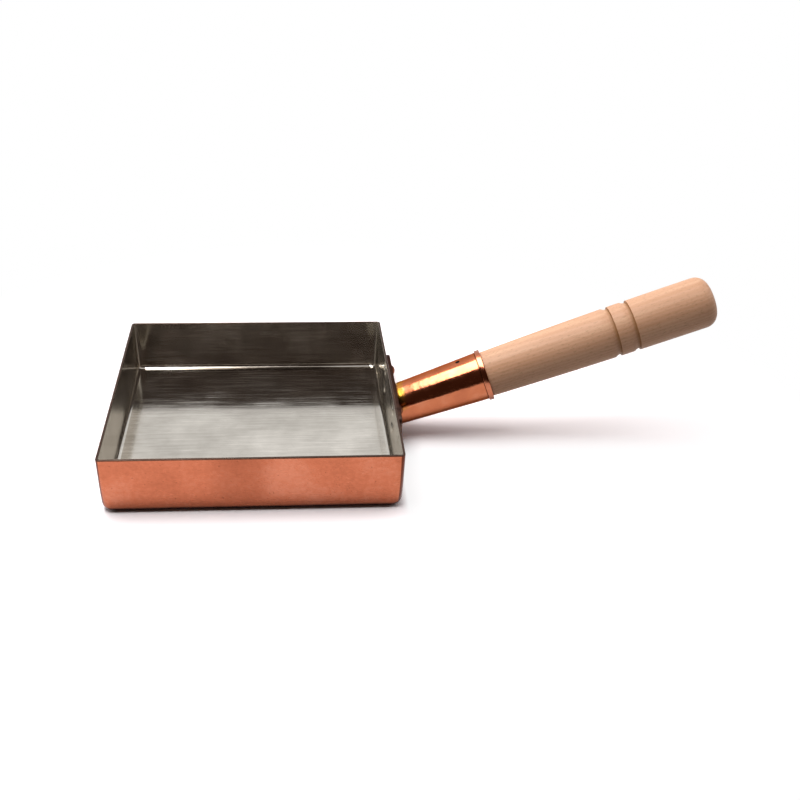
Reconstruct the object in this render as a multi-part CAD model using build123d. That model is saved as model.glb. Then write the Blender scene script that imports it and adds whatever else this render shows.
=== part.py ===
# Square copper pan for rolled omelettes: a tinned copper tray with a riveted bracket plate, a brazed copper
# socket and a turned beech handle. Lengths are in millimetres and angles in degrees. The origin is the middle of
# the tray's underside, +Z is up and +X runs towards the handle.

import os
from math import cos, radians, sin, tan

from build123d import *

# Tray, folded from one copper sheet
pan_side = 165.0
pan_height = 34.5
copper_sheet = 1.3
wall_corner_radius = 2.4
floor_edge_radius = 5.2

# Tin wiped over the inside
tin_skin = 0.15

# Bracket plate on the handle wall
plate_thickness = 2.5
plate_width = 82.0
plate_rim_drop = 2.2
plate_floor_gap = 4.5
plate_upper_corner_radius = 4.0
plate_lower_corner_radius = 14.0
plate_edge_bevel = 0.6

# Rivets through the plate and the wall
rivet_shank_radius = 2.0
rivet_column_spacing = 49.0
rivet_row_spacing = 12.0
rivet_top_inset = 3.9
rivet_head_radius = 3.3
rivet_head_height = 1.9
rivet_inner_head_radius = 3.0
rivet_inner_face_radius = 2.2
rivet_inner_head_height = 0.8

# Handle axis: where it leaves the plate, and how steeply it climbs
handle_root_height = 17.65
handle_rise_angle = 20.75

# Socket rolled from copper sheet
socket_length = 58.9
socket_root_radius = 12.4
socket_mouth_radius = 14.95
socket_sheet = 1.2

# Hoop round the socket's mouth
hoop_width = 3.0
hoop_sheet = 0.8
hoop_edge_bevel = 0.25
hoop_joint_gap = 0.3
hoop_joint_turn = 46.0

# Brass run round the socket's root
braze_leg = 1.3

# Turned beech handle
tenon_length = 46.0
tenon_clearance = 0.1
tenon_end_chamfer = 1.5
grip_length = 139.9
grip_shoulder_radius = 13.8
grip_middle_radius = 15.15
grip_butt_radius = 15.4
butt_corner_radius = 7.5
butt_dome_height = 0.7
groove_from_butt = 60.4
groove_spacing = 11.5
groove_count = 2
groove_width = 3.4
groove_depth = 1.2
groove_lip = 0.35

# Nail that holds the wood in the socket
nail_from_mouth = 14.2
nail_turn_angle = -1.5
nail_shank_radius = 1.0
nail_head_radius = 1.35
nail_head_thickness = 0.6
nail_head_sink = 0.35
nail_length = 16.0
nail_point_length = 3.0

# How far a cutting body runs past what it cuts
overrun = 2.0

wall_face = pan_side / 2
plate_face = wall_face + plate_thickness
plate_top = pan_height - plate_rim_drop
upper_rivet_height = plate_top - rivet_top_inset
rivet_places = [
    (column * rivet_column_spacing / 2, upper_rivet_height - row * rivet_row_spacing)
    for column in (-1, 1)
    for row in (0, 1)
]

# Turned pieces are drawn in a plane that holds the handle's axis: x runs along the axis from the plate's face,
# y is the radius.
rise = radians(handle_rise_angle)
handle_root = Vector(plate_face, 0, handle_root_height)
handle_direction = Vector(cos(rise), 0, sin(rise))
handle_plane = Plane(origin=handle_root, x_dir=handle_direction, z_dir=(0, -1, 0))
handle_axis = Axis(handle_root, handle_direction)


def outward(turn_angle):
    """The direction square to the handle's axis, turned from the top towards the front."""
    turn = radians(turn_angle)
    return Vector(-sin(rise), 0, cos(rise)) * cos(turn) + Vector(0, -1, 0) * sin(turn)


def turned(outline):
    """A solid of revolution about the handle's axis, from edges drawn as (along, radius)."""
    return revolve(handle_plane * make_face(outline), axis=handle_axis)


def socket_radius(along):
    """Outside radius of the socket's cone."""
    share = along / socket_length
    return socket_root_radius + share * (socket_mouth_radius - socket_root_radius)


def grip_radius(along):
    """Radius of the wooden grip outside its grooves and butt, on an even curve through its three radii."""
    share = (along - socket_length) / grip_length
    return (
        (1 - share) * (1 - 2 * share) * grip_shoulder_radius
        + 4 * share * (1 - share) * grip_middle_radius
        + share * (2 * share - 1) * grip_butt_radius
    )


def grip_line(start, end):
    """The grip's swelling line between two places along the handle."""
    middle = (start + end) / 2
    return Spline((start, grip_radius(start)), (middle, grip_radius(middle)), (end, grip_radius(end)))


def tray_block(side, bottom, top, corner_radius, edge_radius):
    """A square block with rounded upright corners and a rounded lower edge."""
    block = Pos(0, 0, bottom) * extrude(Rectangle(side, side), top - bottom)
    block = fillet(block.edges().filter_by(Axis.Z), corner_radius)
    return fillet(block.faces().sort_by(Axis.Z)[0].edges(), edge_radius)


def tray_hollow(inset, top):
    """The tray's inside, drawn in by inset from the outside."""
    return tray_block(
        pan_side - 2 * inset,
        inset,
        top,
        wall_corner_radius - inset,
        floor_edge_radius - inset,
    )


def at_rivets(shape):
    """One copy of shape at each rivet, with its local +Z along +X and its origin on the outside of the wall."""
    return [Plane(origin=(wall_face, y, z), z_dir=(1, 0, 0)) * shape for y, z in rivet_places]


def dome(radius, height, base):
    """A shallow cap that stands on the local plane z = base, on the +Z side."""
    arc = ThreePointArc(
        (radius, base),
        cap_point(radius, height, base),
        (0, base + height),
    )
    outline = arc + Line((0, base + height), (0, base)) + Line((0, base), (radius, base))
    return revolve(Plane.XZ * make_face(outline), axis=Axis.Z)


def cap_point(radius, height, base):
    """A point halfway round the arc from a cap's edge to its top."""
    ball_radius = (radius**2 + height**2) / (2 * height)
    centre = base + height - ball_radius
    reach = radius / 2
    return (reach, centre + (ball_radius**2 - reach**2) ** 0.5)


def inner_rivet_head(growth):
    """The hammered flat head on the tray's inside, made larger by growth for the tin that covers it."""
    height = rivet_inner_head_height + growth
    head = Cone(
        rivet_inner_face_radius + growth,
        rivet_inner_head_radius + growth,
        height,
        align=(Align.CENTER, Align.CENTER, Align.MAX),
    )
    return Pos(0, 0, -copper_sheet) * head


def make_pan_body():
    outside = tray_block(pan_side, 0, pan_height, wall_corner_radius, floor_edge_radius)
    hole = Pos(0, 0, -copper_sheet - overrun) * extrude(
        Circle(rivet_shank_radius), copper_sheet + 2 * overrun
    )
    return outside - tray_hollow(copper_sheet, pan_height + overrun) - at_rivets(hole)


def make_tin_lining():
    tinned_hollow = tray_hollow(copper_sheet + tin_skin, pan_height + overrun)
    tinned_hollow -= at_rivets(inner_rivet_head(tin_skin))
    lining = tray_hollow(copper_sheet, pan_height) - tinned_hollow
    return lining - at_rivets(inner_rivet_head(0))


def make_bracket_plate():
    height = plate_top - plate_floor_gap
    face = Pos(0, plate_floor_gap + height / 2) * Rectangle(plate_width, height)
    corners = face.vertices().sort_by(Axis.Y)
    face = fillet(corners[2:], plate_upper_corner_radius)
    corners = face.vertices().group_by(Axis.Y)[0]
    face = fillet(corners, plate_lower_corner_radius)
    wall_plane = Plane(origin=(wall_face, 0, 0), x_dir=(0, 1, 0), z_dir=(1, 0, 0))
    plate = extrude(wall_plane * face, plate_thickness)
    plate = chamfer(plate.faces().sort_by(Axis.X)[-1].edges(), plate_edge_bevel)
    hole = extrude(Circle(rivet_shank_radius), plate_thickness + overrun)
    return plate - at_rivets(hole)


def make_bracket_rivets():
    shank = Pos(0, 0, -copper_sheet) * extrude(
        Circle(rivet_shank_radius), copper_sheet + plate_thickness
    )
    outer_head = dome(rivet_head_radius, rivet_head_height, plate_thickness)
    return Compound(at_rivets(shank + outer_head + inner_rivet_head(0)))


def beyond_plate(solid):
    """Cut a turned piece flat where it meets the bracket plate."""
    return split(solid, Plane(origin=handle_root, z_dir=(1, 0, 0)), keep=Keep.TOP)


def socket_cone(inset):
    """The socket's cone, drawn in by inset, started behind the plate's face so that it can be cut there."""
    start = -2 * socket_root_radius * tan(rise)
    return turned(
        Polyline(
            (start, 0),
            (start, socket_radius(start) - inset),
            (socket_length, socket_mouth_radius - inset),
            (socket_length, 0),
            close=True,
        )
    )


def make_handle_socket():
    return beyond_plate(socket_cone(0) - socket_cone(socket_sheet)) - nail_hole()


def make_mouth_hoop():
    """A strip bent round the mouth, its two ends left just apart."""
    start = socket_length - hoop_width
    outside = socket_mouth_radius + hoop_sheet
    bevel_radius = outside - hoop_edge_bevel
    ring = turned(
        Polyline(
            (start, 0),
            (start, bevel_radius),
            (start + hoop_edge_bevel, outside),
            (socket_length - hoop_edge_bevel, outside),
            (socket_length, bevel_radius),
            (socket_length, 0),
            close=True,
        )
    )
    joint_place = Plane(origin=handle_root, x_dir=handle_direction, z_dir=outward(hoop_joint_turn))
    joint = joint_place * Pos(start + hoop_width / 2, 0, socket_mouth_radius) * Box(
        2 * hoop_width, hoop_joint_gap, 2 * socket_mouth_radius - 2 * hoop_sheet
    )
    return ring - socket_cone(0) - joint


def make_braze_fillet():
    """What a chamfer round the cone's root adds to the cone and the plate."""
    backing = Pos(plate_face, 0, handle_root_height) * Box(
        plate_thickness,
        plate_width,
        plate_width,
        align=(Align.MAX, Align.CENTER, Align.CENTER),
    )
    cone = beyond_plate(socket_cone(0))
    joined = backing + cone
    root_edges = [
        edge
        for edge in joined.edges()
        if edge.geom_type != GeomType.LINE and abs(edge.center().X - plate_face) < tin_skin
    ]
    return chamfer(root_edges, braze_leg) - backing - cone


def grip_outline():
    """The grip's upper line from the shoulder to the butt's corner, with its coved grooves."""
    butt_end = socket_length + grip_length
    corner_start = butt_end - butt_dome_height - butt_corner_radius
    outline = Curve()
    place = socket_length
    for groove in range(groove_count):
        lip = butt_end - groove_from_butt + groove * groove_spacing
        cove_start = lip - groove_width
        bottom = grip_radius(lip) - groove_depth
        outline += grip_line(place, cove_start)
        outline += TangentArc((lip, bottom), (cove_start, grip_radius(cove_start)), tangent=(-1, 0))
        place = lip + groove_lip
        outline += Line((lip, bottom), (place, grip_radius(place)))
    return outline + grip_line(place, corner_start)


def make_wooden_handle():
    butt_end = socket_length + grip_length
    corner_end = butt_end - butt_dome_height
    corner_start = corner_end - butt_corner_radius
    butt_radius = grip_radius(corner_start)
    end_radius = butt_radius - butt_corner_radius
    tenon_start = socket_length - tenon_length
    bore = socket_sheet + tenon_clearance
    tenon_root = socket_radius(tenon_start) - bore
    corner = RadiusArc((corner_start, butt_radius), (corner_end, end_radius), butt_corner_radius)
    end = ThreePointArc(
        (corner_end, end_radius),
        cap_across(end_radius, butt_dome_height, corner_end),
        (butt_end, 0),
    )
    tenon = Polyline(
        (butt_end, 0),
        (tenon_start, 0),
        (tenon_start, tenon_root - tenon_end_chamfer),
        (tenon_start + tenon_end_chamfer, tenon_root),
        (socket_length, socket_mouth_radius - bore),
        (socket_length, grip_shoulder_radius),
    )
    return turned(grip_outline() + corner + end + tenon) - nail_body()


def cap_across(radius, height, base):
    """The halfway point of a cap's arc, for a cap that stands along the axis."""
    across, along = cap_point(radius, height, base)
    return (along, across)


def nail_plane():
    """Local +Z points out of the socket, square to the axis, with its origin on the socket's outside."""
    out = outward(nail_turn_angle)
    along = socket_length - nail_from_mouth
    surface = handle_root + handle_direction * along + out * socket_radius(along)
    return Plane(origin=surface, x_dir=handle_direction, z_dir=out)


def nail_profile(top):
    """The nail's solid, its head's top at the local height top."""
    head_bottom = -nail_head_sink - nail_head_thickness
    point_start = -nail_length + nail_point_length
    outline = Polyline(
        (0, top),
        (nail_head_radius, top),
        (nail_head_radius, head_bottom),
        (nail_shank_radius, head_bottom),
        (nail_shank_radius, point_start),
        (0, -nail_length),
        close=True,
    )
    return nail_plane() * revolve(Plane.XZ * make_face(outline), axis=Axis.Z)


def nail_body():
    return nail_profile(-nail_head_sink)


def nail_hole():
    """The hole that the nail went in by, open to the outside above the sunken head."""
    return nail_profile(overrun)


parts = {
    "pan_body": make_pan_body(),
    "tin_lining": make_tin_lining(),
    "bracket_plate": make_bracket_plate(),
    "bracket_rivets": make_bracket_rivets(),
    "handle_socket": make_handle_socket(),
    "mouth_hoop": make_mouth_hoop(),
    "braze_fillet": make_braze_fillet(),
    "wooden_handle": make_wooden_handle(),
    "handle_nail": nail_body(),
}

os.makedirs("parts", exist_ok=True)
for name, shape in parts.items():
    export_step(shape, f"parts/{name}.step")
    print(f"{name}: {len(shape.solids())} solid(s), {shape.volume:.1f} mm3, valid {shape.is_valid}")
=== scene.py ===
# Square copper pan for rolled omelettes, dressed for its picture. Sizes in the dictionaries are millimetres
# and degrees, as a maker would write them, and mm turns them into Blender's metres.
import math

import bmesh
import bpy
from mathutils import Matrix, Vector, noise


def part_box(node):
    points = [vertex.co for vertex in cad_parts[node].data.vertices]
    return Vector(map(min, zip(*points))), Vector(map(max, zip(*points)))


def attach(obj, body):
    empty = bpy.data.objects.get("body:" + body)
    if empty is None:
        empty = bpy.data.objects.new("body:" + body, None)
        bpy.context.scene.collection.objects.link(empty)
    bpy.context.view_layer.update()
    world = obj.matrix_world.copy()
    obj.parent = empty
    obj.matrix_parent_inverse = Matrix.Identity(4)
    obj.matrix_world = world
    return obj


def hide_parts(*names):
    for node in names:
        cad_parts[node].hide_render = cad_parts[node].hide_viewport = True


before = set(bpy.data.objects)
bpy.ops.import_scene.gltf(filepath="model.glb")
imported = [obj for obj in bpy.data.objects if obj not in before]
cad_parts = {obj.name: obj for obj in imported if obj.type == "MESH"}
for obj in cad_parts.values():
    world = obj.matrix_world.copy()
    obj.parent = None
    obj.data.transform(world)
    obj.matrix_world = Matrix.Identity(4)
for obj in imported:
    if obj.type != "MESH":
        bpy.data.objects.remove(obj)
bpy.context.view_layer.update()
mm = 0.001
touching = 0.01 * mm  # two places closer than this count as one
print("frame loaded with", len(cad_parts), "nodes")

trayLow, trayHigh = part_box("pan_body")
plateLow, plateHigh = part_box("bracket_plate")

handleAxis = {"rootHeight": 17.65, "rise": 20.75}
handleRoot = Vector((plateHigh.x, 0, handleAxis["rootHeight"] * mm))
handlePlace = Matrix.Translation(handleRoot) @ Matrix.Rotation(-math.radians(handleAxis["rise"]), 4, "Y")


# helpers

def paint(hexColour):
    # sRGB hex to the linear colour that shaders take
    channels = [int(hexColour[i:i + 2], 16) / 255 for i in (0, 2, 4)]
    linear = [c / 12.92 if c <= 0.04045 else ((c + 0.055) / 1.055) ** 2.4 for c in channels]
    return (*linear, 1)


def addNode(tree, kind, sockets=None, stops=None, **options):
    # one node: options are its settings, sockets are set or linked, stops are a ramp's positions and colours.
    # A node given to a socket stands for its first output in use. Sockets of one name go by their number.
    node = tree.nodes.new("ShaderNode" + kind)
    for name, value in options.items():
        setattr(node, name, value)
    for name, value in (sockets or {}).items():
        inUse = [s for s in node.inputs if s.enabled and s.name == name]
        socket = inUse[0] if inUse else node.inputs[name]
        if isinstance(value, bpy.types.Node):
            value = next(s for s in value.outputs if s.enabled)
        if isinstance(value, bpy.types.NodeSocket):
            tree.links.new(value, socket)
        else:
            socket.default_value = value
    if stops:
        ramp = node.color_ramp
        while len(ramp.elements) < len(stops):
            ramp.elements.new(1)
        for element, (position, colour) in zip(ramp.elements, stops):
            element.position = position
            element.color = paint(colour)
    return node


def newMaterial(name):
    material = bpy.data.materials.new(name)
    material.use_nodes = True
    material.node_tree.nodes.clear()
    return material, material.node_tree


def metres(sizes):
    return [size * mm for size in sizes]


def patternScale(size):
    # the Scale of a texture whose features are this many millimetres across
    return 1 / (size * mm)


def between(places, origin=0):
    # what a Map Range node takes from: where a mark starts and where it is full, counted from origin
    start, full = metres(places)
    return {"From Min": origin + start, "From Max": origin + full}


def asMesh(name, bm):
    mesh = bpy.data.meshes.new(name)
    bm.to_mesh(mesh)
    bm.free()
    return mesh


def takeIn(bm, mesh):
    # adds a mesh to bm and clears the mesh away
    bm.from_mesh(mesh)
    bpy.data.meshes.remove(mesh)


def finishPiece(name, bm, material, node, sharpAngle=35):
    mesh = asMesh(name, bm)
    mesh.shade_smooth()
    mesh.set_sharp_from_angle(angle=math.radians(sharpAngle))
    mesh.materials.append(material)
    piece = bpy.data.objects.new(name, mesh)
    bpy.context.scene.collection.objects.link(piece)
    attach(piece, "root")
    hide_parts(node)
    print(name, "made,", len(mesh.polygons), "faces")


def block(low, high):
    bm = bmesh.new()
    bmesh.ops.create_cube(bm, size=1)
    bmesh.ops.scale(bm, vec=high - low, verts=bm.verts)
    bmesh.ops.translate(bm, vec=(low + high) / 2, verts=bm.verts)
    return bm


def cutThrough(bm, place, normal, dropOutside=False):
    bmesh.ops.bisect_plane(
        bm, geom=bm.verts[:] + bm.edges[:] + bm.faces[:], plane_co=place, plane_no=normal,
        clear_outer=dropOutside,
    )


def openEdges(bm):
    return [e for e in bm.edges if e.is_boundary]


def bevelEdges(bm, edges, radius, segments):
    bmesh.ops.bevel(
        bm, geom=edges, offset=radius, offset_type="OFFSET", affect="EDGES", segments=segments,
        profile=0.5, clamp_overlap=False, material=-1,
    )


def turned(profile, steps, angle=360, start=0):
    # spins (along, radius) pairs about the local X axis, from start degrees off the top towards the front
    bm = bmesh.new()
    line = [bm.verts.new((along * mm, 0, radius * mm)) for along, radius in profile]
    edges = [bm.edges.new(pair) for pair in zip(line, line[1:])]
    bmesh.ops.rotate(bm, cent=(0, 0, 0), matrix=Matrix.Rotation(math.radians(start), 3, "X"), verts=line)
    bmesh.ops.spin(
        bm, geom=line + edges, cent=(0, 0, 0), axis=(1, 0, 0), angle=math.radians(angle),
        steps=steps, use_merge=angle == 360,
    )
    bmesh.ops.remove_doubles(bm, verts=bm.verts, dist=0.001 * mm)
    bmesh.ops.recalc_face_normals(bm, faces=bm.faces)
    return bm


# tray and its tin

tray = {
    "copperSheet": 1.3, "footCorner": 7.0, "rimCorner": 2.4, "floorBend": 5.2, "bendSegments": 8,
    "grid": 4.0, "gridMargin": 11.0, "besideBend": 0.3, "belowRim": 0.45, "rimRound": 0.3, "rimSegments": 3,
    "insideTighter": 0.6, "warpDepth": 0.25, "warpLength": 55.0, "leanDepth": 0.5, "leanHeight": 18.0,
}
copperLook = {
    "clouds": 30.0, "mottle": 2.5, "specks": 1.2, "hairlines": 5.0, "hairlinesDrawnOut": 12, "relief": 0.2,
    # pairs are where a mark starts and where it is full; the rim's and the side's count from the tray's edge
    "foot": (12.0, 1.5), "footEdge": (3.8, 2.0), "rim": (-0.7, -0.3), "side": (-2.2, -1.7), "sideShift": 0.4,
    "corner": (68.0, 76.5), "darkBandMiddle": -6.0, "darkBand": (22.0, 6.0), "front": (-60.0, -80.0),
}
tin = {
    "skin": 0.15, "rimRound": 0.06,
    # the tin's run out into the wall round an inner rivet head: height off the wall, distance past the head
    "runOut": [(-0.1, 1.1), (0.04, 0.7), (0.16, 0.35), (0.4, 0.1)],
    "shoulderRise": 0.85, "shoulderPast": 0.4, "faceWithin": 0.3, "crown": 0.06, "crownSide": 0.05,
}
tinLook = {
    "floorStreaks": 1.2, "sideStreaks": 1.6, "patches": 40.0, "scratches": 1.6, "relief": 0.1,
    "side": (78.5, 80.2), "sideRougher": 0.07, "flat": (76.5, 71.0), "bendTop": 4.5, "back": (75.5, 76.5),
    "bendShadeLeft": (-62.0, -30.0), "bendShadeRight": (56.0, 40.0), "rim": (-0.8, -0.2), "glintSide": 78.0,
}


def traySkin(inset):
    # one side of the sheet, open at the top, with the slight waviness of hand-worked copper
    bend = tray["footCorner"] - inset
    low = trayLow + Vector((inset, inset, inset)) * mm
    high = trayHigh - Vector((inset, inset, 0)) * mm
    bm = block(low, high)
    top = max(bm.faces, key=lambda face: face.calc_center_median().z)
    bmesh.ops.delete(bm, geom=[top], context="FACES_ONLY")
    folds = [e for e in bm.edges if not e.is_boundary]
    bevelEdges(bm, folds, bend * mm, tray["bendSegments"])
    step = tray["grid"] * mm
    cuts = int((trayHigh.x - tray["gridMargin"] * mm) / step)
    # the outermost cuts keep the flats flat right up to the bends and the rim
    beside = high.x - (bend + tray["besideBend"]) * mm
    wallStart = tray["gridMargin"] * mm
    rows = int((high.z - wallStart) / step)
    across = [-beside, *(i * step for i in range(-cuts, cuts + 1)), beside]
    upwards = [low.z + (bend + tray["besideBend"]) * mm, high.z - tray["belowRim"] * mm]
    upwards += [wallStart + i * (high.z - wallStart) / rows for i in range(rows)]
    grid = [(Vector((1, 0, 0)), across), (Vector((0, 1, 0)), across), (Vector((0, 0, 1)), upwards)]
    for direction, places in grid:
        for place in places:
            cutThrough(bm, direction * place, direction)
    bmesh.ops.recalc_face_normals(bm, faces=bm.faces)
    lowest = min(bm.faces, key=lambda face: face.calc_center_median().z)
    if lowest.normal.z > 0:
        bmesh.ops.reverse_faces(bm, faces=bm.faces)
    shapeBends(bm, inset)
    pushIn(bm, sheetWarp)
    for v in bm.verts:
        if v.is_boundary:
            v.co.z = high.z
    return bm


def shapeBends(bm, inset):
    # tightens the floor bend, and shrinks the upright bends evenly from the foot to the rim
    bend = (tray["footCorner"] - inset) * mm
    floorBend = tray["floorBend"] - inset * (1 + tray["insideTighter"])
    floorShare = floorBend / (tray["footCorner"] - inset)
    wall = trayHigh.x - inset * mm
    hair = 0.0001 * mm  # takes in the bend's first row
    for v in bm.verts:
        depths = [wall - abs(v.co.x), wall - abs(v.co.y)]
        # how far the vertex lies inside each bend
        reaches = [max(0, bend - depth + hair) for depth in depths]
        height = v.co.z - inset * mm
        across = math.hypot(*reaches)
        if height < bend and across:
            stretch = (bend - floorShare * (bend - across)) / across
            depths = [bend - reach * stretch if reach else depth for reach, depth in zip(reaches, depths)]
            height *= floorShare
        if all(reaches):
            share = height / trayHigh.z
            corner = tray["footCorner"] + share * (tray["rimCorner"] - tray["footCorner"]) - inset
            depths = [depth * corner * mm / bend for depth in depths]
        v.co.x = math.copysign(wall - depths[0], v.co.x)
        v.co.y = math.copysign(wall - depths[1], v.co.y)
        v.co.z = height + inset * mm


def pushIn(bm, distance):
    # moves every vertex inwards along its normal by a distance that depends on its place and normal
    bm.normal_update()
    moves = [(v, v.normal * distance(v.co, v.normal)) for v in bm.verts]
    for v, move in moves:
        v.co -= move


def sheetWarp(place, normal):
    # slow waves, and walls that draw in a little towards the foot
    wave = noise.noise(place / (tray["warpLength"] * mm))
    lean = max(0, 1 - place.z / (tray["leanHeight"] * mm)) ** 2 * (1 - abs(normal.z))
    return (tray["warpDepth"] * (0.5 + 0.5 * wave) + tray["leanDepth"] * lean) * mm


def walledTray(inset, innerInset, rimRound):
    # an outer and an inner skin joined over the rim
    bm = traySkin(inset)
    inner = traySkin(innerInset)
    bmesh.ops.reverse_faces(inner, faces=inner.faces)
    takeIn(bm, asMesh("innerSkin", inner))
    bmesh.ops.bridge_loops(bm, edges=openEdges(bm))
    bm.normal_update()
    level, upright = 0.9, 0.5  # a normal's Z is above the first on the rim, below the second on a wall
    rimEdges = [
        e for e in bm.edges
        if any(f.normal.z > level for f in e.link_faces)
        and any(abs(f.normal.z) < upright for f in e.link_faces)
        and min(v.co.z for v in e.verts) > trayHigh.z - touching
    ]
    bevelEdges(bm, rimEdges, rimRound * mm, tray["rimSegments"])
    return bm


def rolledCopper():
    # copper sheet, rolled and buffed by hand: soft reflections, faint tarnish clouds, fine scratches, darker
    # in patches towards the foot, a brown heat tarnish on the corner bends and along the cut edge, and at the
    # very foot a painted shade for the dark reflection of the shaded table, mixed with heat tarnish
    material, tree = newMaterial("rolledCopperBuffed")
    place = addNode(tree, "TexCoord").outputs["Object"]
    clouds = addNode(tree, "TexNoise", {
        "Vector": place, "Scale": patternScale(copperLook["clouds"]), "Detail": 5, "Roughness": 0.6,
    })
    mottle = addNode(tree, "TexNoise", {
        "Vector": place, "Scale": patternScale(copperLook["mottle"]), "Detail": 3,
    })
    blend = addNode(tree, "Mix", {"Factor": 0.3, "A": clouds, "B": mottle}, data_type="FLOAT")
    tone = addNode(
        tree, "ValToRGB", {"Fac": blend},
        stops=[(0.35, "b9684a"), (0.5, "c97353"), (0.65, "d28163")],
    )
    parts = addNode(tree, "SeparateXYZ", {"Vector": place}).outputs
    foot = addNode(tree, "MapRange", {
        "Value": parts["Z"], **between(copperLook["foot"]), "To Max": 0.6,
    }, interpolation_type="SMOOTHSTEP")
    # the two sides are browned beside the corners. Their walls draw in at the foot, which is evened out here,
    # and the shift makes the mark wider on the handle's side
    drawnIn = addNode(tree, "MapRange", {
        "Value": parts["Z"], **between((tray["leanHeight"], 0)), "To Max": tray["leanDepth"] * mm,
    }, interpolation_type="SMOOTHSTEP")
    shifted = addNode(tree, "Math", {0: parts["X"], 1: copperLook["sideShift"] * mm}, operation="ADD")
    acrossX = addNode(tree, "Math", {0: shifted}, operation="ABSOLUTE")
    acrossY = addNode(tree, "Math", {0: parts["Y"]}, operation="ABSOLUTE")
    evenX = addNode(tree, "Math", {0: acrossX, 1: drawnIn}, operation="ADD")
    side = addNode(tree, "MapRange", {
        "Value": evenX, **between(copperLook["side"], trayHigh.x), "To Max": 0.9,
    })
    cornerwards = addNode(tree, "MapRange", {
        "Value": acrossY, **between(copperLook["corner"]),
    }, interpolation_type="SMOOTHSTEP")
    browned = addNode(tree, "Math", {0: side, 1: cornerwards}, operation="MULTIPLY")
    # painted shade: the very foot is darkened for the dark reflection of the shaded table under it, together
    # with heat tarnish
    footEdge = addNode(tree, "MapRange", {"Value": parts["Z"], **between(copperLook["footEdge"])})
    browningAndFootShade = addNode(tree, "Math", {0: browned, 1: footEdge}, operation="MAXIMUM")
    edgeMark = addNode(tree, "MapRange", {"Value": parts["Z"], **between(copperLook["rim"], trayHigh.z)})
    patches = addNode(tree, "MapRange", {
        "Value": clouds, "From Min": 0.3, "From Max": 0.6, "To Min": 0.55, "To Max": 1.0,
    })
    # darker in patches towards the foot
    darkerTowardsFoot = addNode(tree, "Math", {0: foot, 1: patches}, operation="MULTIPLY")
    # darker across the middle of the front wall
    offPatch = addNode(
        tree, "Math", {0: parts["X"], 1: copperLook["darkBandMiddle"] * mm}, operation="SUBTRACT",
    )
    patchSide = addNode(tree, "Math", {0: offPatch}, operation="ABSOLUTE")
    patchMark = addNode(tree, "MapRange", {
        "Value": patchSide, **between(copperLook["darkBand"]), "To Max": 0.3,
    }, interpolation_type="SMOOTHSTEP")
    onFront = addNode(tree, "MapRange", {"Value": parts["Y"], **between(copperLook["front"])})
    darkBand = addNode(tree, "Math", {0: patchMark, 1: onFront}, operation="MULTIPLY")
    duller = addNode(tree, "Math", {0: darkerTowardsFoot, 1: darkBand}, operation="MAXIMUM")
    specks = addNode(tree, "TexNoise", {
        "Vector": place, "Scale": patternScale(copperLook["specks"]), "Detail": 1,
    })
    speckMark = addNode(tree, "MapRange", {
        "Value": specks, "From Min": 0.73, "From Max": 0.8, "To Max": 0.5,
    })
    for mark, colour in ((duller, "7d3f2a"), (speckMark, "4a2418"), (browningAndFootShade, "562416"), (edgeMark, "4f3a30")):
        tone = addNode(tree, "Mix", {"Factor": mark, "A": tone, "B": paint(colour)}, data_type="RGBA")
    stretch = addNode(tree, "Mapping", {"Vector": place, "Scale": (1, 1, copperLook["hairlinesDrawnOut"])})
    hairlines = addNode(tree, "TexNoise", {
        "Vector": stretch, "Scale": patternScale(copperLook["hairlines"]), "Detail": 4,
    })
    roughness = addNode(tree, "MapRange", {"Value": hairlines, "To Min": 0.2, "To Max": 0.38})
    bump = addNode(tree, "Bump", {"Height": blend, "Strength": 0.12, "Distance": copperLook["relief"] * mm})
    shader = addNode(tree, "BsdfPrincipled", {
        "Base Color": tone, "Metallic": 1, "Roughness": roughness, "Normal": bump,
    })
    addNode(tree, "OutputMaterial", {"Surface": shader})
    return material


copperInside = tray["copperSheet"]
copperTray = walledTray(0, copperInside, tray["rimRound"])
finishPiece("copperTray", copperTray, rolledCopper(), "pan_body")


# rivets: four through the plate and the wall

rivets = {
    "columnSpacing": 49.0, "rowSpacing": 12.0, "topInset": 3.9, "headRadius": 3.3, "headHeight": 1.9,
    "innerRadius": 3.0, "innerFace": 2.2, "innerHeight": 0.8, "shankRadius": 2.0,
    "steps": 40, "domePoints": 8,
}
fittingLook = {"clouds": 8.0, "rubbed": (0.2, 1.0), "relief": 0.3}
rivetTop = plateHigh.z - rivets["topInset"] * mm
rivetPlaces = [
    Vector((trayHigh.x, side * rivets["columnSpacing"] * mm / 2, rivetTop - row * rivets["rowSpacing"] * mm))
    for side in (-1, 1) for row in (0, 1)
]


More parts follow.
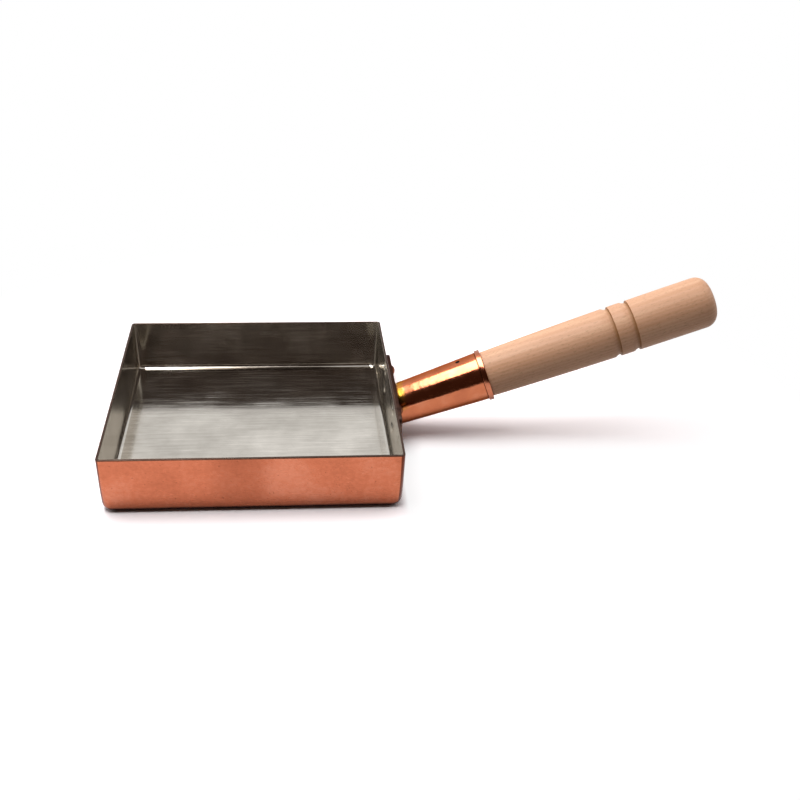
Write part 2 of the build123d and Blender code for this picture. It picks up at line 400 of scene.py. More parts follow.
def tarnishedFitting():
    # copper fitting left as it was worked: browner and duller than the socket, brighter where it was rubbed
    material, tree = newMaterial("workedCopperFitting")
    place = addNode(tree, "TexCoord").outputs["Object"]
    clouds = addNode(tree, "TexNoise", {
        "Vector": place, "Scale": patternScale(fittingLook["clouds"]), "Detail": 6, "Roughness": 0.65,
    })
    tone = addNode(
        tree, "ValToRGB", {"Fac": clouds},
        stops=[(0.3, "3c2f2b"), (0.55, "584640"), (0.72, "7c5c50")],
    )
    # the rivet heads stand proud of the plate and are rubbed brighter
    proud = addNode(tree, "SeparateXYZ", {"Vector": place}).outputs["X"]
    rubbed = addNode(tree, "MapRange", {
        "Value": proud, **between(fittingLook["rubbed"], plateHigh.x), "To Max": 0.75,
    })
    worn = addNode(tree, "Mix", {"Factor": rubbed, "A": tone, "B": paint("a86f58")}, data_type="RGBA")
    roughness = addNode(tree, "MapRange", {
        "Value": clouds, "From Min": 0.3, "From Max": 0.7, "To Min": 0.5, "To Max": 0.28,
    })
    bump = addNode(tree, "Bump", {
        "Height": clouds, "Strength": 0.25, "Distance": fittingLook["relief"] * mm,
    })
    shader = addNode(tree, "BsdfPrincipled", {
        "Base Color": worn, "Metallic": 1, "Roughness": roughness, "Specular Tint": paint("8a7068"),
        "Normal": bump,
    })
    addNode(tree, "OutputMaterial", {"Surface": shader})
    return material


def domeLine(radius, height, base, points):
    # (along, radius) pairs round a cap, from its edge to its top
    ball = (radius ** 2 + height ** 2) / (2 * height)
    edgeAngle = math.asin(radius / ball)
    return [
        (base + height - ball + ball * math.cos(edgeAngle * (1 - i / points)),
         ball * math.sin(edgeAngle * (1 - i / points)))
        for i in range(points + 1)
    ]


def joinCopies(bm, places):
    # one bmesh with a copy of bm at each place
    whole = bmesh.new()
    mesh = asMesh("copy", bm)
    for place in places:
        before = set(whole.verts)
        whole.from_mesh(mesh)
        fresh = [v for v in whole.verts if v not in before]
        bmesh.ops.transform(whole, matrix=Matrix.Translation(place), verts=fresh)
    bpy.data.meshes.remove(mesh)
    return whole


def rivetShape():
    outside = (plateHigh.x - trayHigh.x) / mm
    inside = -tray["copperSheet"]
    profile = [
        (inside - rivets["innerHeight"], 0), (inside - rivets["innerHeight"], rivets["innerFace"]),
        (inside, rivets["innerRadius"]), (inside, rivets["shankRadius"]), (outside, rivets["shankRadius"]),
    ]
    profile += domeLine(rivets["headRadius"], rivets["headHeight"], outside, rivets["domePoints"])
    return turned(profile, rivets["steps"])


fittingFinish = tarnishedFitting()
finishPiece(
    "bracketRivets", joinCopies(rivetShape(), rivetPlaces), fittingFinish, "bracket_rivets",
    50,
)


def wipedTin():
    # tin wiped on hot by hand: a grey mirror with fine streaks along the stroke, a painted shade along the
    # middle of the bend at the back that dims its highlight there, and darker along the rim, with a painted
    # highlight on the rim on the handle's side
    material, tree = newMaterial("wipedTin")
    place = addNode(tree, "TexCoord").outputs["Object"]
    parts = addNode(tree, "SeparateXYZ", {"Vector": place}).outputs
    acrossX = addNode(tree, "Math", {0: parts["X"]}, operation="ABSOLUTE")
    onSide = addNode(tree, "MapRange", {"Value": acrossX, **between(tinLook["side"])})
    # the floor is wiped towards the handle, the side walls up and down
    stroke = addNode(tree, "Mapping", {"Vector": place, "Scale": (0.045, 1, 1)})
    floorStreaks = addNode(tree, "TexNoise", {
        "Vector": stroke, "Scale": patternScale(tinLook["floorStreaks"]), "Detail": 2,
    })
    sideStroke = addNode(tree, "Mapping", {"Vector": place, "Scale": (1, 1, 0.07)})
    sideStreaks = addNode(tree, "TexNoise", {
        "Vector": sideStroke, "Scale": patternScale(tinLook["sideStreaks"]), "Detail": 2,
    })
    streaks = addNode(tree, "Mix", {
        "Factor": onSide, "A": floorStreaks, "B": sideStreaks,
    }, data_type="FLOAT")
    patches = addNode(tree, "TexNoise", {
        "Vector": place, "Scale": patternScale(tinLook["patches"]), "Detail": 4, "Roughness": 0.6,
    })
    blend = addNode(tree, "Mix", {"Factor": 0.72, "A": streaks, "B": patches}, data_type="FLOAT")
    tone = addNode(
        tree, "ValToRGB", {"Fac": blend},
        stops=[(0.36, "c2bdb5"), (0.5, "d3cec6"), (0.64, "e4dfd7")],
    )
    # painted shade: the bend at the back is darker along its middle, which dims its highlight there
    low = addNode(tree, "Math", {0: parts["Z"], 1: tinLook["bendTop"] * mm}, operation="LESS_THAN")
    back = addNode(tree, "MapRange", {"Value": parts["Y"], **between(tinLook["back"])})
    pastLeft = addNode(tree, "MapRange", {"Value": parts["X"], **between(tinLook["bendShadeLeft"])})
    pastRight = addNode(tree, "MapRange", {"Value": parts["X"], **between(tinLook["bendShadeRight"])})
    along = addNode(tree, "Math", {0: pastLeft, 1: pastRight}, operation="MULTIPLY")
    bend = addNode(tree, "Math", {0: low, 1: back}, operation="MULTIPLY")
    bendShade = addNode(tree, "Math", {0: along, 1: bend}, operation="MULTIPLY")
    dulled = addNode(tree, "Mix", {"Factor": bendShade, "A": tone, "B": paint("9a9289")}, data_type="RGBA")
    edgeMark = addNode(tree, "MapRange", {"Value": parts["Z"], **between(tinLook["rim"], trayHigh.z)})
    # painted highlight: on the handle's side the rim is painted lighter, standing for the glint along its
    # rounded edge
    glintSide = addNode(tree, "Math", {
        0: parts["X"], 1: tinLook["glintSide"] * mm,
    }, operation="GREATER_THAN")
    rimToneAndGlint = addNode(tree, "Mix", {
        "Factor": glintSide, "A": paint("75685e"), "B": paint("beb4aa"),
    }, data_type="RGBA")
    edged = addNode(tree, "Mix", {"Factor": edgeMark, "A": dulled, "B": rimToneAndGlint}, data_type="RGBA")
    # the side walls are rougher than the floor
    wall = addNode(tree, "Math", {0: onSide, 1: tinLook["sideRougher"]}, operation="MULTIPLY")
    sheen = addNode(tree, "MapRange", {
        "Value": blend, "From Min": 0.35, "From Max": 0.65, "To Min": 0.07, "To Max": 0.17,
    })
    broad = addNode(tree, "Math", {0: sheen, 1: wall}, operation="ADD")
    # sparse scratches along the stroke
    drag = addNode(tree, "Mapping", {"Vector": place, "Rotation": (0, 0, 0.03), "Scale": (0.035, 1, 1)})
    scratches = addNode(tree, "TexNoise", {
        "Vector": drag, "Scale": patternScale(tinLook["scratches"]), "Detail": 3,
    })
    scratched = addNode(tree, "MapRange", {
        "Value": scratches, "From Min": 0.48, "From Max": 0.72, "To Max": 0.15,
    })
    flat = addNode(tree, "MapRange", {"Value": acrossX, **between(tinLook["flat"]), "To Max": low})
    onFloor = addNode(tree, "Math", {0: scratched, 1: flat}, operation="MULTIPLY")
    roughness = addNode(tree, "Math", {0: broad, 1: onFloor}, operation="ADD")
    bump = addNode(tree, "Bump", {"Height": streaks, "Strength": 0.05, "Distance": tinLook["relief"] * mm})
    shader = addNode(tree, "BsdfPrincipled", {
        "Base Color": edged, "Metallic": 0.985, "Roughness": roughness, "Specular Tint": paint("d9d4cd"),
        "Normal": bump,
    })
    addNode(tree, "OutputMaterial", {"Surface": shader})
    return material


def tinLining():
    lining = asMesh("lining", walledTray(copperInside, copperInside + tin["skin"], tin["rimRound"]))
    # tin over each inner rivet head, running out into the wall
    inside = -tray["copperSheet"] - tin["skin"]
    top = inside - rivets["innerHeight"]
    profile = [(inside - tin["runOut"][0][0], 0)]
    profile += [(inside - height, rivets["innerRadius"] + past) for height, past in tin["runOut"]]
    profile += [
        (inside - rivets["innerHeight"] * tin["shoulderRise"], rivets["innerFace"] + tin["shoulderPast"]),
        (top, rivets["innerFace"] - tin["faceWithin"]),
        (top - tin["crownSide"], rivets["innerFace"] / 2), (top - tin["crown"], 0),
    ]
    bm = joinCopies(turned(profile, rivets["steps"]), rivetPlaces)
    takeIn(bm, lining)
    return bm


finishPiece("tinLining", tinLining(), wipedTin(), "tin_lining")


# bracket plate

plate = {"upperCorner": 4.0, "lowerCorner": 14.0, "cornerSegments": 14, "edgeRound": 0.7, "edgeSegments": 4}


def bracketPlate():
    bm = block(plateLow, plateHigh)
    for radius, height in ((plate["upperCorner"], plateHigh.z), (plate["lowerCorner"], plateLow.z)):
        corners = [
            e for e in bm.edges
            if abs(e.verts[0].co.x - e.verts[1].co.x) > (plateHigh.x - plateLow.x) / 2
            and abs(abs(e.verts[0].co.y) - plateHigh.y) < touching
            and abs(e.verts[0].co.z - height) < touching
        ]
        bevelEdges(bm, corners, radius * mm, plate["cornerSegments"])
    face = max(bm.faces, key=lambda f: f.calc_center_median().x)
    bevelEdges(bm, list(face.edges), plate["edgeRound"] * mm, plate["edgeSegments"])
    return bm


finishPiece("bracketPlate", bracketPlate(), fittingFinish, "bracket_plate")


# socket, hoop, braze and nail

socket = {
    "length": 58.9, "rootRadius": 12.4, "mouthRadius": 14.95, "sheet": 1.2, "steps": 160, "rings": 40,
    "lipRound": 0.2, "dentDepth": 0.12, "dentLength": 14.0,
}
socketLook = {
    "clouds": 12.0, "rubbing": 2.0, "rubbingRelief": 0.1, "dents": 8.0, "dentsRelief": 0.16,
    "filler": (11.0, 6.0), "fillerSpread": (-3.0, 4.0), "upper": (1.0, 5.0), "under": (-9.0, -12.5),
    "paintedShadeBefore": 0.5, "paintedShade": 0.85,
}
hoop = {
    "width": 3.0, "sheet": 0.8, "edgeRound": 0.2, "besideRound": 0.08, "jointGap": 0.45, "jointTurn": 46.0,
    "jointSlant": 9.0, "overlap": 0.2, "steps": 150, "clouds": 6.0,
}
braze = {
    "leg": 1.3, "steps": 96, "levels": 6, "lump": 0.25, "lumpLength": 3.0, "buried": 0.1, "hollow": 0.3,
    "relief": 0.3, "grains": 2.0,
}
nail = {
    "fromMouth": 14.2, "turn": -1.5, "headRadius": 1.35, "headThickness": 0.6, "headRound": 0.2, "sink": 0.35,
    "shankRadius": 1.0, "length": 16.0, "point": 3.0, "steps": 28, "holeSteps": 32, "scale": 0.5,
}


def handleCoordinates(tree):
    # object coordinates turned so that X runs along the handle's axis from the plate's face
    place = addNode(tree, "TexCoord").outputs["Object"]
    turn = handlePlace.inverted()
    return addNode(tree, "Mapping", {
        "Vector": place, "Location": turn.translation, "Rotation": turn.to_euler(),
    })


def polishedCopper():
    # rolled copper tube, polished by hand: sharp reflections, brassy where the filler ran over the root,
    # darker underneath, and a painted shade in a line against the hoop
    material, tree = newMaterial("polishedCopperTube")
    place = handleCoordinates(tree)
    parts = addNode(tree, "SeparateXYZ", {"Vector": place}).outputs
    clouds = addNode(tree, "TexNoise", {
        "Vector": place, "Scale": patternScale(socketLook["clouds"]), "Detail": 6, "Roughness": 0.6,
    })
    tone = addNode(
        tree, "ValToRGB", {"Fac": clouds},
        stops=[(0.3, "b9694a"), (0.5, "c67350"), (0.7, "cd7f5e")],
    )
    least, most = metres(socketLook["fillerSpread"])
    spread = addNode(tree, "MapRange", {
        "Value": clouds, "From Min": 0.3, "From Max": 0.7, "To Min": least, "To Max": most,
    })
    reach = addNode(tree, "Math", {0: parts["X"], 1: spread}, operation="ADD")
    flowed = addNode(tree, "MapRange", {"Value": reach, **between(socketLook["filler"])})
    upper = addNode(tree, "MapRange", {"Value": parts["Z"], **between(socketLook["upper"])})
    filler = addNode(tree, "Math", {0: flowed, 1: upper}, operation="MULTIPLY")
    brassy = addNode(tree, "Mix", {"Factor": filler, "A": tone, "B": paint("d8a03c")}, data_type="RGBA")
    underneath = addNode(tree, "MapRange", {
        "Value": parts["Z"], **between(socketLook["under"]), "To Max": 0.9,
    })
    # painted shade: the tube is darkened from just before the hoop, for the shadow that the hoop's edge casts
    # on it
    paintedShadeStart = (socket["length"] - hoop["width"] - socketLook["paintedShadeBefore"]) * mm
    paintedShadeLow = addNode(tree, "Math", {0: parts["X"], 1: paintedShadeStart}, operation="GREATER_THAN")
    paintedShade = addNode(tree, "Math", {0: paintedShadeLow, 1: socketLook["paintedShade"]}, operation="MULTIPLY")
    dark = addNode(tree, "Math", {0: underneath, 1: paintedShade}, operation="MAXIMUM")
    colour = addNode(tree, "Mix", {"Factor": dark, "A": brassy, "B": paint("5c2a1a")}, data_type="RGBA")
    rub = addNode(tree, "Mapping", {"Vector": place, "Scale": (0.15, 1, 1)})
    rubbing = addNode(tree, "TexNoise", {
        "Vector": rub, "Scale": patternScale(socketLook["rubbing"]), "Detail": 4,
    })
    roughness = addNode(tree, "MapRange", {
        "Value": rubbing, "From Min": 0.3, "From Max": 0.7, "To Min": 0.1, "To Max": 0.21,
    })
    hammered = addNode(tree, "TexNoise", {
        "Vector": place, "Scale": patternScale(socketLook["dents"]), "Detail": 2,
    })
    dents = addNode(tree, "Bump", {
        "Height": hammered, "Strength": 1, "Distance": socketLook["dentsRelief"] * mm,
    })
    bump = addNode(tree, "Bump", {
        "Height": rubbing, "Strength": 0.08, "Distance": socketLook["rubbingRelief"] * mm, "Normal": dents,
    })
    shader = addNode(tree, "BsdfPrincipled", {
        "Base Color": colour, "Metallic": 1, "Roughness": roughness, "Specular Tint": paint("d9b3a4"),
        "Normal": bump,
    })
    addNode(tree, "OutputMaterial", {"Surface": shader})
    return material


def hoopCopper():
    # the same copper on the hoop, worn a little brighter
    material, tree = newMaterial("polishedCopperStrip")
    place = handleCoordinates(tree)
    clouds = addNode(tree, "TexNoise", {
        "Vector": place, "Scale": patternScale(hoop["clouds"]), "Detail": 5, "Roughness": 0.6,
    })
    tone = addNode(tree, "ValToRGB", {"Fac": clouds}, stops=[(0.3, "b4664a"), (0.7, "cf8262")])
    roughness = addNode(tree, "MapRange", {
        "Value": clouds, "From Min": 0.3, "From Max": 0.7, "To Min": 0.14, "To Max": 0.28,
    })
    shader = addNode(tree, "BsdfPrincipled", {"Base Color": tone, "Metallic": 1, "Roughness": roughness})
    addNode(tree, "OutputMaterial", {"Surface": shader})
    return material


def brazingBrass():
    # brass filler left as it flowed: yellow, slightly lumpy
    material, tree = newMaterial("brazingBrassAsFlowed")
    place = addNode(tree, "TexCoord").outputs["Object"]
    lumps = addNode(tree, "TexNoise", {
        "Vector": place, "Scale": patternScale(braze["grains"]), "Detail": 3,
    })
    tone = addNode(
        tree, "ValToRGB", {"Fac": lumps},
        stops=[(0.35, "8a4f34"), (0.5, "c08a3e"), (0.65, "dfae4a")],
    )
    bump = addNode(tree, "Bump", {"Height": lumps, "Strength": 0.3, "Distance": braze["relief"] * mm})
    shader = addNode(tree, "BsdfPrincipled", {
        "Base Color": tone, "Metallic": 1, "Roughness": 0.3, "Normal": bump,
    })
    addNode(tree, "OutputMaterial", {"Surface": shader})
    return material


def blackenedIronAndShade():
    # small iron nail, blackened by heat and painted near black for the shade in its sunken hole: a dull scale
    # with hardly any gloss
    material, tree = newMaterial("blackenedIronAndShade")
    place = addNode(tree, "TexCoord").outputs["Object"]
    scale = addNode(tree, "TexNoise", {"Vector": place, "Scale": patternScale(nail["scale"]), "Detail": 3})
    tone = addNode(tree, "ValToRGB", {"Fac": scale}, stops=[(0.3, "080605"), (0.7, "1a1310")])
    shader = addNode(tree, "BsdfPrincipled", {
        "Base Color": tone, "Roughness": 0.95, "Specular IOR Level": 0.15,
    })
    addNode(tree, "OutputMaterial", {"Surface": shader})
    return material


def socketRadius(along):
    share = along / socket["length"]
    return socket["rootRadius"] + share * (socket["mouthRadius"] - socket["rootRadius"])


def nailPlace():
    # local X points out of the socket, from its outside where the nail is driven
    along = socket["length"] - nail["fromMouth"]
    turn = Matrix.Rotation(math.radians(nail["turn"]), 4, "X")
    outwards = Matrix.Rotation(math.radians(-90), 4, "Y")
    return handlePlace @ turn @ Matrix.Translation((along * mm, 0, socketRadius(along) * mm)) @ outwards


def cutAway(bm, cutter):
    # bm without what cutter covers
    pair = [bpy.data.objects.new("cut", asMesh("cut", shape)) for shape in (bm, cutter)]
    for item in pair:
        bpy.context.scene.collection.objects.link(item)
    body, tool = pair
    boolean = body.modifiers.new("hole", "BOOLEAN")
    boolean.operation = "DIFFERENCE"
    boolean.object = tool
    result = bmesh.new()
    result.from_object(body, bpy.context.evaluated_depsgraph_get())
    for item in pair:
        mesh = item.data
        bpy.data.objects.remove(item)
        bpy.data.meshes.remove(mesh)
    return result


def handleSocket():
    # the cone starts well behind the plate's face and is cut flat there
    start = -2 * socket["rootRadius"] * math.tan(math.radians(handleAxis["rise"]))
    sheet = socket["sheet"]
    straight = socket["length"] - socket["lipRound"]
    stations = [start + (straight - start) * i / socket["rings"] for i in range(socket["rings"] + 1)]
    profile = [(along, socketRadius(along)) for along in stations]
    profile += [
        (socket["length"], socket["mouthRadius"] - socket["lipRound"]),
        (socket["length"], socket["mouthRadius"] - sheet), (start, socketRadius(start) - sheet),
    ]
    profile.append(profile[0])
    bm = turned(profile, socket["steps"])
    # slight hammering, inwards only
    for v in bm.verts:
        outwards = Vector((0, v.co.y, v.co.z))
        if outwards.length > socketRadius(v.co.x / mm) * mm - sheet * mm / 2:
            dent = 0.5 + 0.5 * noise.noise(v.co / (socket["dentLength"] * mm))
            v.co -= outwards.normalized() * dent * socket["dentDepth"] * mm
    bmesh.ops.transform(bm, matrix=handlePlace, verts=bm.verts)
    cutThrough(bm, handleRoot, (-1, 0, 0), dropOutside=True)
    bmesh.ops.bridge_loops(bm, edges=openEdges(bm))
    bmesh.ops.recalc_face_normals(bm, faces=bm.faces)
    drill = turned([
        (-2 * sheet, 0), (-2 * sheet, nail["headRadius"]), (sheet, nail["headRadius"]), (sheet, 0),
    ], nail["holeSteps"])
    bmesh.ops.transform(drill, matrix=nailPlace(), verts=drill.verts)
    return cutAway(bm, drill)


finishPiece("handleSocket", handleSocket(), polishedCopper(), "handle_socket")


def mouthHoop():
    start = socket["length"] - hoop["width"]
    end = socket["length"]
    outside = socket["mouthRadius"] + hoop["sheet"]
    edge = hoop["edgeRound"]
    soft = edge * (1 - math.sqrt(0.5))
    inner = edge + hoop["besideRound"]
    profile = [
        (start, socketRadius(start) - hoop["overlap"]), (start, outside - edge),
        (start + soft, outside - soft), (start + edge, outside), (start + inner, outside),
        (end - inner, outside), (end - edge, outside),
        (end - soft, outside - soft), (end, outside - edge), (end, socketRadius(end) - hoop["overlap"]),
    ]
    profile.append(profile[0])
    gap = math.degrees(hoop["jointGap"] / outside)
    bm = turned(profile, hoop["steps"], 360 - gap, hoop["jointTurn"] + gap / 2)
    bmesh.ops.holes_fill(bm, edges=bm.edges[:], sides=len(profile))
    bmesh.ops.recalc_face_normals(bm, faces=bm.faces)
    # the strip was cut at a slant, so the joint leans
    for v in bm.verts:
        share = (v.co.x / mm - start) / hoop["width"] - 0.5
        v.co.rotate(Matrix.Rotation(math.radians(hoop["jointSlant"] * share), 3, "X"))
    bmesh.ops.transform(bm, matrix=handlePlace, verts=bm.verts)
    return bm


finishPiece("mouthHoop", mouthHoop(), hoopCopper(), "mouth_hoop")


def brazeBead():
    # a ring in the corner between the slanted cone and the plate, a little hollow and lumpy as filler sets
    bm = bmesh.new()
    bmesh.ops.create_circle(bm, segments=braze["steps"], radius=1)
    loop = bm.edges[:]
    for level in range(braze["levels"] + 1):
        made = bmesh.ops.extrude_edge_only(bm, edges=loop)["geom"]
        bmesh.ops.translate(bm, vec=(0, 0, 1), verts=[g for g in made if isinstance(g, bmesh.types.BMVert)])
        loop = [g for g in made if isinstance(g, bmesh.types.BMEdge)]
        loop = [e for e in loop if all(abs(v.co.z - level - 1) < 0.5 for v in e.verts)]
    bmesh.ops.bridge_loops(bm, edges=openEdges(bm))
    rise = math.radians(handleAxis["rise"])
    taper = (socket["mouthRadius"] - socket["rootRadius"]) / socket["length"]
    for v in bm.verts:
        turn = math.atan2(v.co.y, v.co.x)
        share = (v.co.z - 1) / braze["levels"]
        rootAlong = (
            socket["rootRadius"] * math.cos(turn) * math.sin(rise)
            / (math.cos(rise) - taper * math.cos(turn) * math.sin(rise))
        )
        rootPlace = handlePlace @ (coneSide(rootAlong, turn) * mm)
        lump = 1 + braze["lump"] * noise.noise(rootPlace / (braze["lumpLength"] * mm)) - braze["lump"]
        alongCone = handlePlace @ (coneSide(rootAlong + braze["leg"] * lump, turn) * mm) - rootPlace
        outwards = Vector((0, math.sin(-turn), math.cos(turn))) * braze["leg"] * lump * mm
        if share < 0:
            v.co = rootPlace - alongCone * braze["buried"] - outwards * braze["buried"]
        else:
            sag = 1 - braze["hollow"] * math.sin(math.pi * share)
            v.co = rootPlace + (outwards * (1 - share) + alongCone * share) * sag
    bmesh.ops.recalc_face_normals(bm, faces=bm.faces)
    return bm


def coneSide(along, turn):
    radius = socketRadius(along)
    return Vector((along, radius * math.sin(-turn), radius * math.cos(turn)))


finishPiece("brazeBead", brazeBead(), brazingBrass(), "braze_fillet")


def sunkenNail():
    top = -nail["sink"]
    headFoot = top - nail["headThickness"]
    profile = [
        (top, 0), (top, nail["headRadius"] - nail["headRound"]),
        (top - nail["headRound"], nail["headRadius"]), (headFoot, nail["headRadius"]),
        (headFoot, nail["shankRadius"]),
        (nail["point"] - nail["length"], nail["shankRadius"]), (-nail["length"], 0),
    ]
    bm = turned(profile, nail["steps"])
    bmesh.ops.transform(bm, matrix=nailPlace(), verts=bm.verts)
    return bm


finishPiece("sunkenNail", sunkenNail(), blackenedIronAndShade(), "handle_nail")


# wooden handle

grip = {
    "length": 139.88, "shoulder": 13.8, "middle": 15.15, "butt": 15.38, "buttCorner": 7.5, "buttDome": 0.7,
    "tenon": 46.0, "tenonClearance": 0.1,
    "grooveFromButt": 60.4, "grooveSpacing": 11.5, "grooves": 2, "grooveWidth": 3.4, "grooveDepth": 1.2,
    "grooveLip": 0.35, "shoulderRound": 0.4, "steps": 128,
    "swellPieces": 16, "betweenPieces": 4, "covePieces": 6, "buttPieces": 10, "cornerPieces": 12,
    "domePoints": 6,
}
beechLook = {
    "heart": (0, 12.0, 34.0), "rings": 2.2, "wander": 12.0, "wanderBy": 6.0, "bands": 6.0, "pores": 0.7,
    "poresRelief": 0.1, "paintedShadeBeforeLip": (-2.0, 0), "paintedShadePastLip": 0.4, "paintedShade": 0.85,
}


def sandedBeech():
    # beech, turned and sanded bare: pinkish tan, soft growth bands, short thin dark pores along the grain,
    # rings on the end grain, and grooves browned with painted shade
    material, tree = newMaterial("sandedBeech")
    place = handleCoordinates(tree)
    parts = addNode(tree, "SeparateXYZ", {"Vector": place}).outputs
    warp = addNode(tree, "Mapping", {"Vector": place, "Scale": (0.05, 1, 1)})
    wander = addNode(tree, "TexNoise", {
        "Vector": warp, "Scale": patternScale(beechLook["wander"]), "Detail": 3,
    })
    centred = addNode(tree, "Mapping", {
        "Vector": place, "Location": metres(beechLook["heart"]), "Scale": (0.02, 1, 1),
    })
    bent = addNode(tree, "VectorMath", {
        0: wander.outputs["Color"], 1: [beechLook["wanderBy"] * mm] * 3,
    }, operation="MULTIPLY")
    ringPlace = addNode(tree, "VectorMath", {0: centred, 1: bent}, operation="ADD")
    ringSpacing = 0.314  # how far apart a wave texture's rings are at a scale of 1
    rings = addNode(tree, "TexWave", {
        "Vector": ringPlace, "Scale": ringSpacing * patternScale(beechLook["rings"]), "Distortion": 1.5,
        "Detail": 2,
    }, wave_type="RINGS", rings_direction="X")
    bandShape = addNode(tree, "Mapping", {"Vector": place, "Scale": (0.08, 1, 1)})
    bands = addNode(tree, "TexNoise", {
        "Vector": bandShape, "Scale": patternScale(beechLook["bands"]), "Detail": 4,
    })
    growth = addNode(tree, "Mix", {"Factor": 0.2, "A": bands, "B": rings.outputs["Fac"]}, data_type="FLOAT")
    tone = addNode(
        tree, "ValToRGB", {"Fac": growth},
        stops=[(0.3, "d8a27c"), (0.5, "dfab88"), (0.7, "e6b691")],
    )
    # rays and pores: short darker flecks along the grain
    poreShape = addNode(tree, "Mapping", {"Vector": place, "Scale": (0.33, 1, 1)})
    pores = addNode(tree, "TexNoise", {
        "Vector": poreShape, "Scale": patternScale(beechLook["pores"]), "Detail": 3,
    })
    poreMark = addNode(tree, "MapRange", {
        "Value": pores, "From Min": 0.54, "From Max": 0.74, "To Max": 0.5,
    })
    flecked = addNode(tree, "Mix", {"Factor": poreMark, "A": tone, "B": paint("ae7c58")}, data_type="RGBA")
    # painted shade: each groove is brown towards its lip
    marks = []
    for i in range(grip["grooves"]):
        lip = (socket["length"] + grip["length"] - grip["grooveFromButt"] + i * grip["grooveSpacing"]) * mm
        paintedShadeEnd = lip + beechLook["paintedShadePastLip"] * mm
        rising = addNode(tree, "MapRange", {"Value": parts["X"], **between(beechLook["paintedShadeBeforeLip"], lip)})
        ending = addNode(tree, "Math", {0: parts["X"], 1: paintedShadeEnd}, operation="LESS_THAN")
        marks.append(addNode(tree, "Math", {0: rising, 1: ending}, operation="MULTIPLY"))
    grooveMark = addNode(tree, "Math", {0: marks[0], 1: marks[1]}, operation="MAXIMUM")
    grooveShade = addNode(tree, "Math", {0: grooveMark, 1: beechLook["paintedShade"]}, operation="MULTIPLY")
    colour = addNode(tree, "Mix", {
        "Factor": grooveShade, "A": flecked, "B": paint("9a6a38"),
    }, data_type="RGBA")
    bump = addNode(tree, "Bump", {
        "Height": pores, "Strength": 0.15, "Distance": beechLook["poresRelief"] * mm,
    })
    shader = addNode(tree, "BsdfPrincipled", {"Base Color": colour, "Roughness": 0.55, "Normal": bump})
    addNode(tree, "OutputMaterial", {"Surface": shader})
    return material


def gripRadius(along):
    share = (along - socket["length"]) / grip["length"]
    return (
        (1 - share) * (1 - 2 * share) * grip["shoulder"] + 4 * share * (1 - share) * grip["middle"]
        + share * (2 * share - 1) * grip["butt"]
    )


def gripLine(start, end, pieces):
    # the swelling line between two places, without its last point
    stations = [start + (end - start) * i / pieces for i in range(pieces)]
    return [(along, gripRadius(along)) for along in stations]


def beechHandle():
    first = socket["length"]
    butt = first + grip["length"]
    tenonStart = first - grip["tenon"]
    bore = socket["sheet"] + grip["tenonClearance"]
    profile = [
        (tenonStart, 0), (tenonStart, socketRadius(tenonStart) - bore), (first, socket["mouthRadius"] - bore),
        (first, gripRadius(first) - grip["shoulderRound"]),
    ]
    place = first + grip["shoulderRound"]
    for groove in range(grip["grooves"]):
        lip = butt - grip["grooveFromButt"] + groove * grip["grooveSpacing"]
        coveStart = lip - grip["grooveWidth"]
        profile += gripLine(place, coveStart, grip["betweenPieces"] if groove else grip["swellPieces"])
        for i in range(grip["covePieces"] + 1):
            share = i / grip["covePieces"]
            along = coveStart + share * grip["grooveWidth"]
            profile.append((along, gripRadius(along) - grip["grooveDepth"] * share * (2 - share)))
        place = lip + grip["grooveLip"]
    cornerEnd = butt - grip["buttDome"]
    cornerStart = cornerEnd - grip["buttCorner"]
    profile += gripLine(place, cornerStart, grip["buttPieces"])
    cornerRadius = gripRadius(cornerStart) - grip["buttCorner"]
    for i in range(grip["cornerPieces"] + 1):
        angle = math.radians(90 * i / grip["cornerPieces"])
        profile.append((
            cornerStart + grip["buttCorner"] * math.sin(angle),
            cornerRadius + grip["buttCorner"] * math.cos(angle),
        ))
    profile += domeLine(cornerRadius, grip["buttDome"], cornerEnd, grip["domePoints"])[1:]
    bm = turned(profile, grip["steps"])
    bmesh.ops.transform(bm, matrix=handlePlace, verts=bm.verts)
    return bm


finishPiece("beechHandle", beechHandle(), sandedBeech(), "wooden_handle", 40)


# camera, lamp, table and room

view = {
    "place": (18.0, -545.0, 340.2), "down": 30.236, "right": 4.781, "roll": -1.681,
    "lens": 46.71, "sensor": 36.0, "shift": 0.05,
}
camera = bpy.data.objects.new("camera", bpy.data.cameras.new("camera"))
camera.data.lens = view["lens"]
camera.data.sensor_width = view["sensor"]
camera.data.shift_x = view["shift"]
camera.data.clip_start = 0.01
camera.matrix_world = (
    Matrix.Translation(Vector(view["place"]) * mm)
    @ Matrix.Rotation(-math.radians(view["right"]), 4, "Z")
    @ Matrix.Rotation(math.radians(90 - view["down"]), 4, "X")
    @ Matrix.Rotation(-math.radians(view["roll"]), 4, "Z")
)
bpy.context.scene.collection.objects.link(camera)
bpy.context.scene.camera = camera

softbox = {"centre": (-240.0, 60.0, 1000.0), "size": (340.0, 900.0), "radiance": 9.0}
lamp = bpy.data.lights.new("overheadSoftbox", "AREA")
lamp.shape = "RECTANGLE"
lamp.size, lamp.size_y = metres(softbox["size"])
lamp.energy = softbox["radiance"] * math.pi * lamp.size * lamp.size_y
lampPiece = bpy.data.objects.new("overheadSoftbox", lamp)
lampPiece.location = metres(softbox["centre"])
lampPiece.visible_camera = False
bpy.context.scene.collection.objects.link(lampPiece)

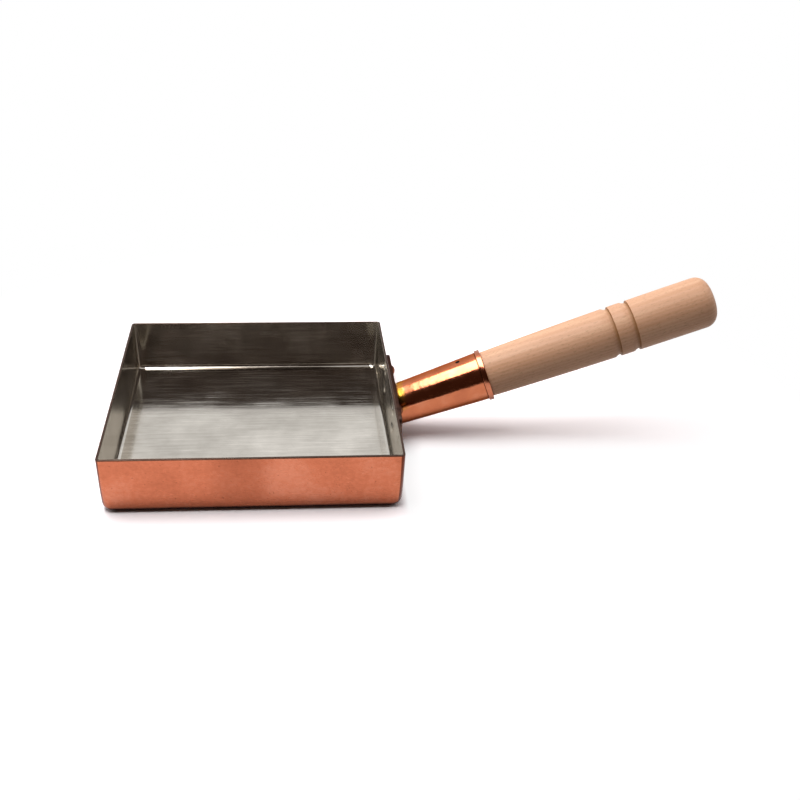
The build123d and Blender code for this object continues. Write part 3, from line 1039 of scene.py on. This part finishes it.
table = {
    "centre": (100.0, 1080.0, 0), "size": (3000.0, 3000.0), "bounce": "959595", "seen": "ffffff",
    "seenShare": (1.24, 1.18, 1.2, 1), "mirrorShare": (0.9, 0.905, 0.93, 1),
    "shadowFrom": (40.0, -20.0, 0), "plain": (170.0, 330.0),
    "besideTray": (82.0, 86.0), "beforeHandle": (-6.0, -34.0), "clearing": 0.85,
}
room = {
    "pale": 0.85, "high": 1.28, "ceiling": (0.53, 0.86), "dark": 0.048, "darkColour": "ffd2b8",
    "front": (-0.08, -0.26),
}


def whiteTable():
    # matt white, and whiter for the camera and in what the pan mirrors than in the light that it throws back
    material, tree = newMaterial("whiteTable")
    path = addNode(tree, "LightPath").outputs
    eyes = addNode(tree, "Math", {0: path["Is Camera Ray"], 1: path["Is Glossy Ray"]}, operation="ADD")
    seen = addNode(tree, "Math", {0: eyes, 1: path["Is Transmission Ray"]}, operation="ADD", use_clamp=True)
    bounce = addNode(tree, "BsdfDiffuse", {"Color": paint(table["bounce"])})
    share = addNode(tree, "Mix", {
        "Factor": path["Is Camera Ray"], "A": table["mirrorShare"], "B": table["seenShare"],
    }, data_type="RGBA", clamp_result=False)
    seenTable = addNode(tree, "BsdfDiffuse", {"Color": share})
    # away from the pan the table is plain white, so that it has no edge against the backdrop
    spot = addNode(tree, "TexCoord").outputs["Object"]
    reach = addNode(tree, "VectorMath", {0: spot, 1: metres(table["shadowFrom"])}, operation="DISTANCE")
    faraway = addNode(tree, "MapRange", {
        "Value": reach, **between(table["plain"]),
    }, interpolation_type="SMOOTHSTEP")
    # it is also plain white in front of the handle beside the tray: painted light that takes away the shadow
    # there
    spotParts = addNode(tree, "SeparateXYZ", {"Vector": spot}).outputs
    beside = addNode(tree, "MapRange", {"Value": spotParts["X"], **between(table["besideTray"])})
    inFront = addNode(tree, "MapRange", {
        "Value": spotParts["Y"], **between(table["beforeHandle"]), "To Max": table["clearing"],
    }, interpolation_type="SMOOTHSTEP")
    clear = addNode(tree, "Math", {0: beside, 1: inFront}, operation="MULTIPLY")
    whiteness = addNode(tree, "Math", {0: faraway, 1: clear}, operation="MAXIMUM")
    white = addNode(tree, "Emission", {"Color": paint(table["seen"]), "Strength": 1})
    wholeTable = addNode(tree, "MixShader", {0: whiteness, 1: seenTable, 2: white})
    mixed = addNode(tree, "MixShader", {0: seen, 1: bounce, 2: wholeTable})
    addNode(tree, "OutputMaterial", {"Surface": mixed})
    return material


def lightRoom(tree):
    # pale behind the object, brighter towards the ceiling, and dark on the camera's side
    direction = addNode(tree, "TexCoord").outputs["Generated"]
    parts = addNode(tree, "SeparateXYZ", {"Vector": direction}).outputs
    start, full = room["ceiling"]
    ceiling = addNode(tree, "MapRange", {
        "Value": parts["Z"], "From Min": start, "From Max": full, "To Min": room["pale"],
        "To Max": room["high"],
    })
    start, full = room["front"]
    front = addNode(tree, "MapRange", {"Value": parts["Y"], "From Min": start, "From Max": full})
    backLight = addNode(tree, "Background", {"Color": paint("ffffff"), "Strength": ceiling})
    frontLight = addNode(tree, "Background", {"Color": paint(room["darkColour"]), "Strength": room["dark"]})
    roomLight = addNode(tree, "MixShader", {0: front, 1: backLight, 2: frontLight})
    backdrop = addNode(tree, "Background", {"Color": paint("ffffff"), "Strength": 1})
    isCamera = addNode(tree, "LightPath").outputs["Is Camera Ray"]
    both = addNode(tree, "MixShader", {0: isCamera, 1: roomLight, 2: backdrop})
    addNode(tree, "OutputWorld", {"Surface": both})


bm = bmesh.new()
bmesh.ops.create_grid(bm, x_segments=1, y_segments=1, size=0.5)
bmesh.ops.scale(bm, vec=(*metres(table["size"]), 1), verts=bm.verts)
bmesh.ops.translate(bm, vec=metres(table["centre"]), verts=bm.verts)
floor = bpy.data.objects.new("tableTop", asMesh("tableTop", bm))
floor.data.materials.append(whiteTable())
bpy.context.scene.collection.objects.link(floor)

world = bpy.data.worlds.new("studio")
bpy.context.scene.world = world
world.use_nodes = True
world.node_tree.nodes.clear()
lightRoom(world.node_tree)

bpy.context.scene.view_settings.view_transform = "Standard"
print("camera, lights and table placed")
